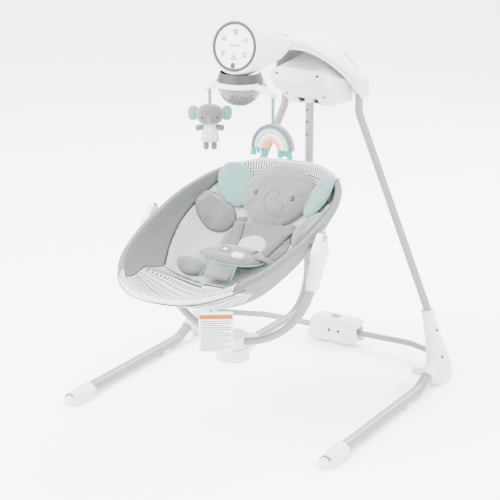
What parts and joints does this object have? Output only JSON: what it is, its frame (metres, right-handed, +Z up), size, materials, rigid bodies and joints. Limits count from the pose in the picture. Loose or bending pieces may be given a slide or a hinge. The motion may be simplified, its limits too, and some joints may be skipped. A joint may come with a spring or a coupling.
{
  "type": "baby swing",
  "caption": "Folding baby swing: a splayed tube stand, a motor housing with a control head and toy bar, and an overhead arm carrying a soft seat that swivels and reclines.",
  "frame": {"origin": "on the floor under the middle of the swing", "axes": "+Z up, the child faces -Y, +X is the child's left"},
  "size_m": [0.8588, 1.0114, 1.0831],
  "materials": {
    "white_plastic": "matte moulded",
    "panel_film": "satin",
    "dark_plastic": "satin",
    "tube_paint": "satin silver-grey",
    "steel": "ground",
    "coil_copper": "enamelled wire",
    "board": "solder mask",
    "battery_case": "gloss",
    "bush_nylon": "smooth",
    "dome_smoke": "translucent satin",
    "teal_button": "satin",
    "elephant_plush": "short plush",
    "rainbow_plush": "short plush",
    "sling_cloth": "plain weave",
    "pad_cloth": "quilted weave",
    "pillow_cloth": "soft knit",
    "harness_web": "webbing",
    "tag_cloth": "printed label cloth"
  },
  "bodies": {
    "motor_housing": {"housing_hood": "white_plastic", "housing_pod": "white_plastic", "housing_rear": "white_plastic", "head_shell": "white_plastic", "neck_shell": "white_plastic", "bezel_ring": "dark_plastic", "control_panel": "panel_film", "circuit_board": "board", "drive_coil": "coil_copper", "swing_shaft": "steel", "batteries": "battery_case", "battery_door": "white_plastic", "power_jack": "dark_plastic", "housing_screws": "steel", "fold_pins": "steel", "dome_collar": "dome_smoke", "dome_lens": "dome_smoke"},
    "speed_key": {"key_speed": "panel_film"},
    "timer_key": {"key_timer": "panel_film"},
    "music_key": {"key_music": "panel_film"},
    "volume_key": {"key_volume": "panel_film"},
    "nature_key": {"key_nature": "panel_film"},
    "light_key": {"key_light": "panel_film"},
    "power_key": {"key_power": "dark_plastic"},
    "toy_arm": {"toy_bar": "white_plastic"},
    "elephant": {"elephant_toy": "elephant_plush"},
    "rainbow": {"rainbow_toy": "rainbow_plush"},
    "right_side": {"upright_right": "tube_paint", "hub_right": "white_plastic", "leg_right": "tube_paint", "floor_feet_right": "white_plastic"},
    "left_side": {"upright_left": "tube_paint", "hub_left": "white_plastic", "leg_left": "tube_paint", "floor_feet_left": "white_plastic"},
    "fold_box": {"hinge_box": "white_plastic", "hinge_pins": "steel"},
    "right_brace": {"brace_right": "tube_paint"},
    "left_brace": {"brace_left": "tube_paint"},
    "box_button": {"fold_button": "teal_button"},
    "swing_arm": {"arm_tube": "tube_paint", "arm_collar": "white_plastic", "arm_hanger": "white_plastic", "arm_bushes": "bush_nylon", "drive_magnet": "steel", "snap_buttons": "dark_plastic", "swivel_base": "white_plastic"},
    "swivel_lock": {"swivel_latch": "white_plastic"},
    "seat_frame": {"swivel_head": "white_plastic", "seat_yoke": "tube_paint", "seat_hub_right": "white_plastic", "seat_hub_left": "white_plastic"},
    "recline_right": {"recline_button_right": "teal_button"},
    "recline_left": {"recline_button_left": "teal_button"},
    "seat": {"seat_hoop": "tube_paint", "seat_sling": "sling_cloth", "seat_pad": "pad_cloth", "body_support": "pillow_cloth", "harness": "harness_web", "seat_tag": "tag_cloth"}
  },
  "joints": [
    {"name": "fold_right", "type": "hinge", "parent": "motor_housing", "child": "right_side", "pos_m": [0.12, 0.37, 0.83], "axis": [0, 1, 0], "range_deg": [0, 21]},
    {"name": "fold_left", "type": "hinge", "parent": "motor_housing", "child": "left_side", "pos_m": [-0.12, 0.37, 0.83], "axis": [0, 1, 0], "range_deg": [-21, 0]},
    {"name": "box_lift", "type": "slide", "parent": "motor_housing", "child": "fold_box", "axis": [0, 0, 1], "range_m": [0, 0.281]},
    {"name": "right_brace_fold", "type": "hinge", "parent": "fold_box", "child": "right_brace", "pos_m": [0.045, 0.482, 0.045], "axis": [0, 1, 0], "range_deg": [0, 86.9]},
    {"name": "left_brace_fold", "type": "hinge", "parent": "fold_box", "child": "left_brace", "pos_m": [-0.045, 0.482, 0.045], "axis": [0, 1, 0], "range_deg": [-86.9, 0]},
    {"name": "fold_button_press", "type": "slide", "parent": "fold_box", "child": "box_button", "axis": [0, 0, -1], "range_m": [0, 0.004], "stiffness_N_per_m": 800},
    {"name": "arm_swing", "type": "hinge", "parent": "motor_housing", "child": "swing_arm", "pos_m": [0, 0.298, 0.86], "axis": [0, 1, 0], "range_deg": [-12, 12]},
    {"name": "swivel_lock_slide", "type": "slide", "parent": "swing_arm", "child": "swivel_lock", "axis": [0, 0, 1], "range_m": [0, 0.003], "stiffness_N_per_m": 800},
    {"name": "seat_swivel", "type": "hinge", "parent": "swing_arm", "child": "seat_frame", "pos_m": [0, -0.125, 0.2], "axis": [0, 0, 1], "range_deg": [-90, 90]},
    {"name": "seat_recline", "type": "hinge", "parent": "seat_frame", "child": "seat", "pos_m": [0, -0.125, 0.512], "axis": [-1, 0, 0], "range_deg": [-6, 10]},
    {"name": "recline_press_right", "type": "slide", "parent": "seat_frame", "child": "recline_right", "axis": [-1, 0, 0], "range_m": [0, 0.004], "stiffness_N_per_m": 600},
    {"name": "recline_press_left", "type": "slide", "parent": "seat_frame", "child": "recline_left", "axis": [1, 0, 0], "range_m": [0, 0.004], "stiffness_N_per_m": 600},
    {"name": "toy_bar_spin", "type": "hinge", "parent": "motor_housing", "child": "toy_arm", "pos_m": [0, -0.085, 0.91], "axis": [0, 0, 1], "continuous": true},
    {"name": "elephant_swing", "type": "hinge", "parent": "toy_arm", "child": "elephant", "pos_m": [-0.1, -0.085, 0.884], "axis": [1, 0, 0], "range_deg": [-30, 30]},
    {"name": "rainbow_swing", "type": "hinge", "parent": "toy_arm", "child": "rainbow", "pos_m": [0.1, -0.085, 0.884], "axis": [1, 0, 0], "range_deg": [-30, 30]},
    {"name": "speed_press", "type": "slide", "parent": "motor_housing", "child": "speed_key", "axis": [0, 0.9854, -0.1702], "range_m": [0, 0.0008], "stiffness_N_per_m": 1500},
    {"name": "timer_press", "type": "slide", "parent": "motor_housing", "child": "timer_key", "axis": [0, 0.9854, -0.1702], "range_m": [0, 0.0008], "stiffness_N_per_m": 1500},
    {"name": "music_press", "type": "slide", "parent": "motor_housing", "child": "music_key", "axis": [0, 0.9854, -0.1702], "range_m": [0, 0.0008], "stiffness_N_per_m": 1500},
    {"name": "volume_press", "type": "slide", "parent": "motor_housing", "child": "volume_key", "axis": [0, 0.9854, -0.1702], "range_m": [0, 0.0008], "stiffness_N_per_m": 1500},
    {"name": "nature_press", "type": "slide", "parent": "motor_housing", "child": "nature_key", "axis": [0, 0.9854, -0.1702], "range_m": [0, 0.0008], "stiffness_N_per_m": 1500},
    {"name": "light_press", "type": "slide", "parent": "motor_housing", "child": "light_key", "axis": [0, 0.9854, -0.1702], "range_m": [0, 0.0008], "stiffness_N_per_m": 1500},
    {"name": "power_press", "type": "slide", "parent": "motor_housing", "child": "power_key", "axis": [0, 0.9854, -0.1702], "range_m": [0, 0.0008], "stiffness_N_per_m": 1500}
  ],
  "couplings": [
    {"joint": "fold_left", "follows": "fold_right", "ratio": -1},
    {"joint": "box_lift", "follows": "fold_right", "m_per_rad": 0.7656},
    {"joint": "right_brace_fold", "follows": "fold_right", "ratio": 4.133},
    {"joint": "left_brace_fold", "follows": "fold_right", "ratio": -4.133}
  ]
}
